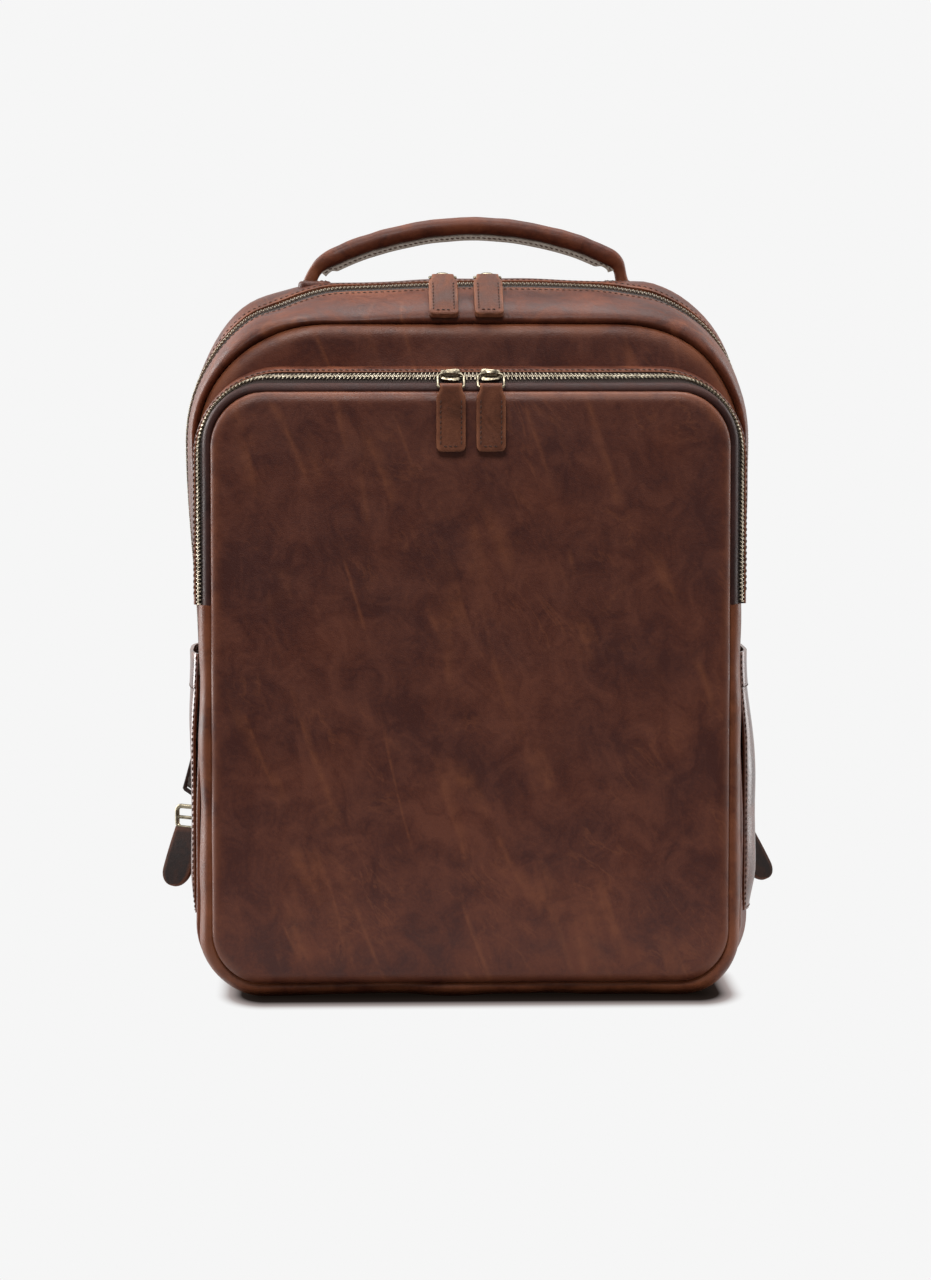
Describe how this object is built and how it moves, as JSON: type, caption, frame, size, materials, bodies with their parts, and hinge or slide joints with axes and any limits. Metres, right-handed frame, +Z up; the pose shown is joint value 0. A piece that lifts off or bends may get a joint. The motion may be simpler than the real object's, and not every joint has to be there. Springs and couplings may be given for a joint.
{
  "type": "leather backpack",
  "caption": "Upright leather laptop backpack with a zipped main compartment, a zipped front pocket, open side pockets, a rolled carry handle and padded shoulder straps.",
  "frame": {"origin": "centre of the flat base that the bag stands on, under the main compartment", "axes": "+Z up, front facing -Y, +X to the right of someone looking at the front"},
  "size_m": [0.3676, 0.167, 0.4487],
  "materials": {
    "leather": "waxed, satin",
    "dark_leather": "waxed, satin",
    "zip_tape": "woven",
    "brass": "antique",
    "lining": "woven",
    "mesh_fabric": "padded air mesh"
  },
  "bodies": {
    "bag": {"back_panel": "leather", "back_pad_left": "mesh_fabric", "back_pad_right": "mesh_fabric", "lumbar_pad": "mesh_fabric", "strap_yoke": "leather", "strap_base_tab_left": "leather", "strap_base_tab_right": "leather", "rear_gusset": "leather", "base_gusset": "leather", "pocket_base_gusset": "leather", "main_front_lower": "leather", "front_panel_lower": "leather", "laptop_divider": "lining", "base_board": "lining", "side_pocket_left": "leather", "side_pocket_right": "leather", "main_zip_teeth_rear": "brass", "main_zip_tape_rear": "zip_tape", "handle_patch_left": "leather", "handle_patch_right": "leather"},
    "main_flap": {"front_gusset": "leather", "main_front_upper": "leather", "front_panel_middle": "leather", "pocket_gusset_left": "leather", "pocket_gusset_right": "leather", "main_zip_tape_front": "zip_tape", "main_zip_teeth_front": "brass", "pocket_zip_tape_rear": "zip_tape", "pocket_zip_teeth_rear": "brass"},
    "pocket_flap": {"front_panel_upper": "leather", "pocket_zip_tape_front": "zip_tape", "pocket_zip_teeth_front": "brass"},
    "carry_handle": {"handle_roll": "leather", "handle_core": "lining", "handle_tab_left": "leather", "handle_tab_right": "leather"},
    "main_slider_left_body": {"main_slider_left": "brass"},
    "main_slider_right_body": {"main_slider_right": "brass"},
    "main_ring_left_body": {"main_pull_left_ring": "brass"},
    "main_ring_right_body": {"main_pull_right_ring": "brass"},
    "main_tab_left_body": {"main_pull_left_tab": "leather"},
    "main_tab_right_body": {"main_pull_right_tab": "leather"},
    "pocket_slider_left_body": {"pocket_slider_left": "brass"},
    "pocket_slider_right_body": {"pocket_slider_right": "brass"},
    "pocket_ring_left_body": {"pocket_pull_left_ring": "brass"},
    "pocket_ring_right_body": {"pocket_pull_right_ring": "brass"},
    "pocket_tab_left_body": {"pocket_pull_left_tab": "leather"},
    "pocket_tab_right_body": {"pocket_pull_right_tab": "leather"},
    "shoulder_strap_left": {"shoulder_pad_left": "leather", "buckle_left": "brass"},
    "shoulder_strap_right": {"shoulder_pad_right": "leather", "buckle_right": "brass"},
    "lower_strap_left_body": {"lower_strap_left": "leather"},
    "lower_strap_right_body": {"lower_strap_right": "leather"},
    "strap_tail_left_body": {"strap_tail_left": "dark_leather"},
    "strap_tail_right_body": {"strap_tail_right": "dark_leather"}
  },
  "joints": [
    {"name": "main_flap_fold", "type": "hinge", "parent": "bag", "child": "main_flap", "pos_m": [0, -0.0665, 0.185], "axis": [1, 0, 0], "range_deg": [0, 60]},
    {"name": "pocket_flap_fold", "type": "hinge", "parent": "main_flap", "child": "pocket_flap", "pos_m": [0, -0.0665, 0.227], "axis": [1, 0, 0], "range_deg": [0, 40]},
    {"name": "main_slider_left_travel", "type": "slide", "parent": "main_flap", "child": "main_slider_left_body", "axis": [-1, 0, 0], "range_m": [0, 0.068]},
    {"name": "main_slider_right_travel", "type": "slide", "parent": "main_flap", "child": "main_slider_right_body", "axis": [1, 0, 0], "range_m": [0, 0.068]},
    {"name": "pocket_slider_left_travel", "type": "slide", "parent": "pocket_flap", "child": "pocket_slider_left_body", "axis": [-1, 0, 0], "range_m": [0, 0.09]},
    {"name": "pocket_slider_right_travel", "type": "slide", "parent": "pocket_flap", "child": "pocket_slider_right_body", "axis": [1, 0, 0], "range_m": [0, 0.09]},
    {"name": "main_ring_left_swing", "type": "hinge", "parent": "main_slider_left_body", "child": "main_ring_left_body", "pos_m": [-0.0148, -0.00172, 0.41383], "axis": [-1, 0, 0], "range_deg": [0, 80]},
    {"name": "main_ring_right_swing", "type": "hinge", "parent": "main_slider_right_body", "child": "main_ring_right_body", "pos_m": [0.0112, -0.00172, 0.41383], "axis": [-1, 0, 0], "range_deg": [0, 80]},
    {"name": "main_tab_left_swing", "type": "hinge", "parent": "main_ring_left_body", "child": "main_tab_left_body", "pos_m": [-0.0148, -0.01221, 0.41347], "axis": [-1, 0, 0], "range_deg": [0, 40]},
    {"name": "main_tab_right_swing", "type": "hinge", "parent": "main_ring_right_body", "child": "main_tab_right_body", "pos_m": [0.0112, -0.01221, 0.41347], "axis": [-1, 0, 0], "range_deg": [0, 40]},
    {"name": "pocket_ring_left_swing", "type": "hinge", "parent": "pocket_slider_left_body", "child": "pocket_ring_left_body", "pos_m": [-0.0116, -0.05848, 0.35939], "axis": [-1, 0, 0], "range_deg": [0, 100]},
    {"name": "pocket_ring_right_swing", "type": "hinge", "parent": "pocket_slider_right_body", "child": "pocket_ring_right_body", "pos_m": [0.0112, -0.05848, 0.35939], "axis": [-1, 0, 0], "range_deg": [0, 100]},
    {"name": "pocket_tab_left_swing", "type": "hinge", "parent": "pocket_ring_left_body", "child": "pocket_tab_left_body", "pos_m": [-0.0116, -0.06846, 0.35187], "axis": [-1, 0, 0], "range_deg": [0, 60]},
    {"name": "pocket_tab_right_swing", "type": "hinge", "parent": "pocket_ring_right_body", "child": "pocket_tab_right_body", "pos_m": [0.0112, -0.06846, 0.35187], "axis": [-1, 0, 0], "range_deg": [0, 60]},
    {"name": "carry_handle_swing", "type": "hinge", "parent": "bag", "child": "carry_handle", "pos_m": [0, 0.028, 0.4168], "axis": [-1, 0, 0], "range_deg": [-45, 45]},
    {"name": "shoulder_strap_left_swing", "type": "hinge", "parent": "bag", "child": "shoulder_strap_left", "pos_m": [-0.05, 0.0615, 0.358], "axis": [1, 0, 0], "range_deg": [0, 3.6]},
    {"name": "shoulder_strap_right_swing", "type": "hinge", "parent": "bag", "child": "shoulder_strap_right", "pos_m": [0.05, 0.0615, 0.358], "axis": [1, 0, 0], "range_deg": [0, 3.6]},
    {"name": "lower_strap_left_swing", "type": "hinge", "parent": "bag", "child": "lower_strap_left_body", "pos_m": [-0.144, 0.0635, 0.04], "axis": [1, 0, 0], "range_deg": [-21, 0]},
    {"name": "lower_strap_right_swing", "type": "hinge", "parent": "bag", "child": "lower_strap_right_body", "pos_m": [0.144, 0.0635, 0.04], "axis": [1, 0, 0], "range_deg": [-21, 0]},
    {"name": "strap_tail_left_swing", "type": "hinge", "parent": "shoulder_strap_left", "child": "strap_tail_left_body", "pos_m": [-0.16509, 0.06769, 0.0825], "axis": [-0.788, 0.6157, 0], "range_deg": [0, 60]},
    {"name": "strap_tail_right_swing", "type": "hinge", "parent": "shoulder_strap_right", "child": "strap_tail_right_body", "pos_m": [0.16509, 0.06769, 0.0825], "axis": [-0.788, -0.6157, 0], "range_deg": [0, 60]}
  ],
  "couplings": [
    {"joint": "lower_strap_left_swing", "follows": "shoulder_strap_left_swing", "ratio": -5.6},
    {"joint": "lower_strap_right_swing", "follows": "shoulder_strap_right_swing", "ratio": -5.6}
  ]
}
